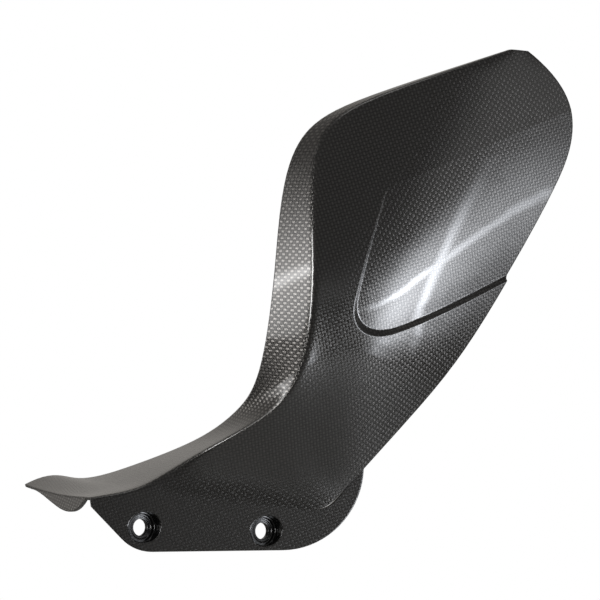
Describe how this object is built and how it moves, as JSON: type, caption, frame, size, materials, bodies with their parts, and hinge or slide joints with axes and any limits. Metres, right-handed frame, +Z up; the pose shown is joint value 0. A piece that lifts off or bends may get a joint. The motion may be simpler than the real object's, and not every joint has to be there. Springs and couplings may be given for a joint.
{
  "type": "rear hugger mudguard",
  "caption": "One-piece carbon laminate rear hugger mudguard: a scooped side face with a folded rim, a shelf with a turned-down lip and a side plate with slanted, recessed bolt seats.",
  "frame": {"origin": "centre of the front bolt bore where it opens on the shallow step in its recess", "axes": "+X along the side plate towards the tail, +Y from the plate's outer side towards the wheel, +Z up; the plate stands in the XZ plane"},
  "size_m": [0.3225, 0.1906, 0.324],
  "materials": {
    "lacquered_carbon": "gloss"
  },
  "bodies": {
    "root": {"hugger_shell": "lacquered_carbon"}
  },
  "joints": []
}
